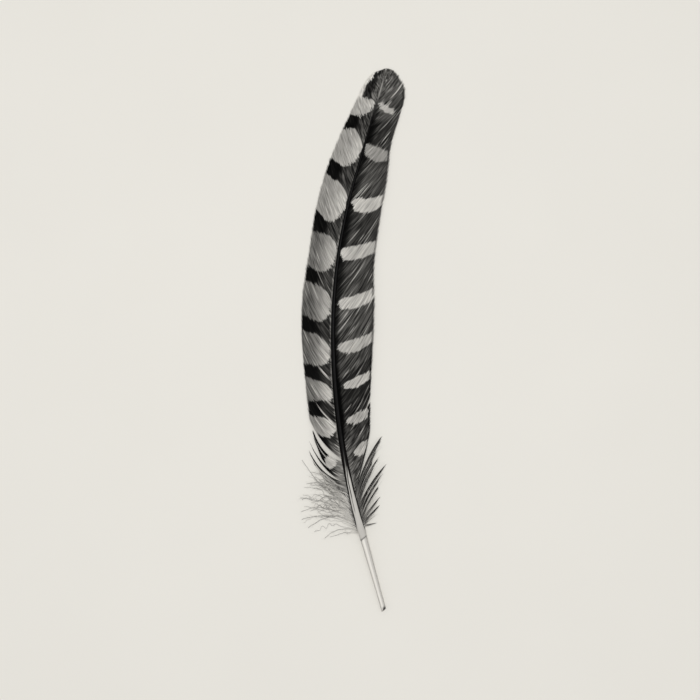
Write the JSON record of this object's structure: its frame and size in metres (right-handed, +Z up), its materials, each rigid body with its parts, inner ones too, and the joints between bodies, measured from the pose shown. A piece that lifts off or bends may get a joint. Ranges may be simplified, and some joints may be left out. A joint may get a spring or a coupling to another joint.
{
  "type": "quill pen",
  "caption": "Barred flight-feather quill pen lying flat: dark bowed shaft, two barred vanes, downy base and a bare translucent barrel with a slanted mouth.",
  "frame": {"origin": "on the surface the feather lies on, under the middle of its bounding box", "axes": "+Y along the feather from the barrel to the tip, +X to the right seen from above, +Z up"},
  "size_m": [0.0481, 0.2504, 0.0053],
  "materials": {
    "barrel_horn": "translucent pale horn, satin gloss",
    "rachis_horn": "polished horn, near black above and pale grey at the foot",
    "pith": "dry foam-like pith",
    "dry_membrane": "thin dry membrane",
    "dark_residue": "dark dried residue",
    "left_web": "barred feather web, soft sheen along the barbs",
    "right_web": "barred feather web, soft sheen along the barbs",
    "loose_barbs": "loose dark barbs",
    "down": "pale grey down"
  },
  "bodies": {
    "root": {"calamus_barrel": "barrel_horn", "downy_tuft_1": "down", "downy_tuft_2": "down", "downy_tuft_3": "down", "downy_tuft_4": "down", "downy_tuft_5": "down", "left_split_strip_lower": "left_web", "left_split_strip_middle": "left_web", "left_split_web_upper": "left_web", "left_vane_web_1": "left_web", "left_vane_web_2": "left_web", "left_vane_web_3": "left_web", "left_vane_web_4": "left_web", "left_vane_web_5": "left_web", "left_vane_web_6": "left_web", "left_vane_web_7": "left_web", "lower_umbilicus_plug": "dark_residue", "pulp_cups": "dry_membrane", "rachis_cortex": "rachis_horn", "rachis_pith": "pith", "right_basal_wisp": "loose_barbs", "right_loose_clump_1": "loose_barbs", "right_loose_clump_2": "loose_barbs", "right_loose_clump_3": "loose_barbs", "right_loose_clump_4": "loose_barbs", "right_loose_clump_5": "loose_barbs", "right_loose_clump_6": "loose_barbs", "right_loose_clump_7": "loose_barbs", "right_vane_web_1": "right_web", "right_vane_web_2": "right_web", "right_vane_web_3": "right_web", "right_vane_web_4": "right_web", "right_vane_web_5": "right_web", "right_vane_web_6": "right_web", "right_vane_web_7": "right_web", "right_vane_web_8": "right_web", "upper_umbilicus_seal": "dry_membrane"}
  },
  "joints": []
}
